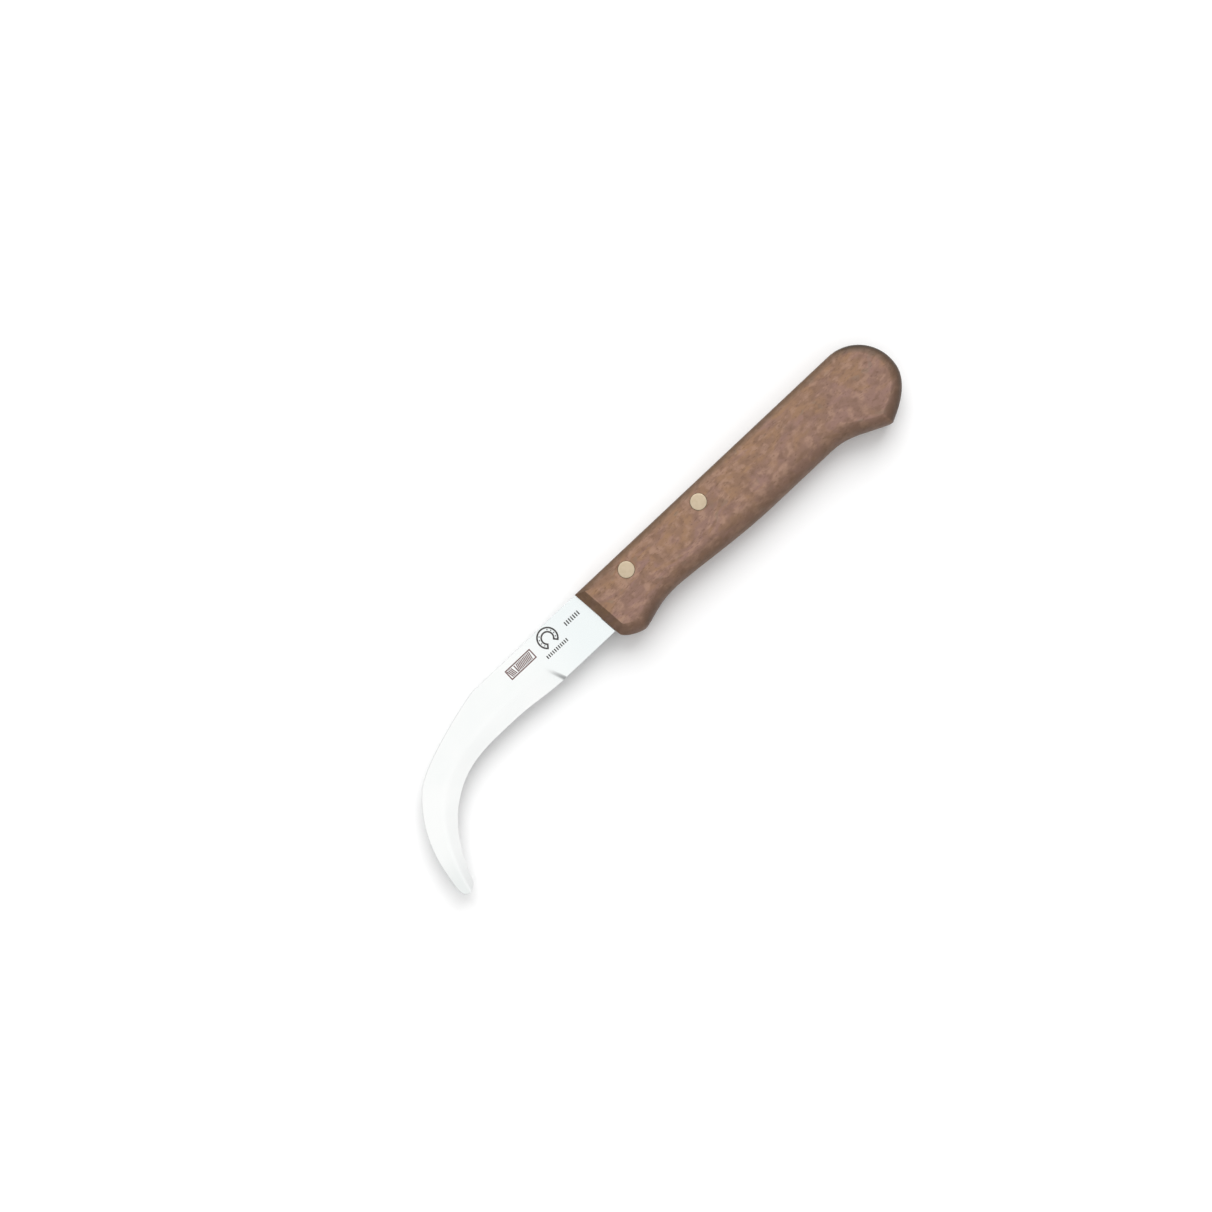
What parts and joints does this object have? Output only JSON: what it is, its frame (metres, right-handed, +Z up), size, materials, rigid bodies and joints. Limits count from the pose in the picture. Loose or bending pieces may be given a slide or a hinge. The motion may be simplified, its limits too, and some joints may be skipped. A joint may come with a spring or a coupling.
{
  "type": "hoof knife",
  "caption": "Fixed hooked trimming knife for hooves: steel blade ground on the hollow side of the hook, half tang riveted into a one-piece wooden handle.",
  "frame": {"origin": "under the middle of the knife's bounding box, on the surface that the knife lies on", "axes": "+X from the hook to the butt of the handle, +Y from the cutting edge to the spine, +Z up through the thickness; the knife lies flat on one cheek of its handle"},
  "size_m": [0.1976, 0.0422, 0.013],
  "materials": {
    "wood": "oiled hardwood with fine dark pores, sanded smooth, matt satin",
    "steel": "fine satin stainless, slightly cool, with faint grinding lines on the bevel",
    "brass": "pale brass ground flush with the wood, satin"
  },
  "bodies": {
    "root": {"handle": "wood", "blade": "steel", "front_rivet_socket": "brass", "front_rivet_post": "brass", "rear_rivet_socket": "brass", "rear_rivet_post": "brass"}
  },
  "joints": []
}
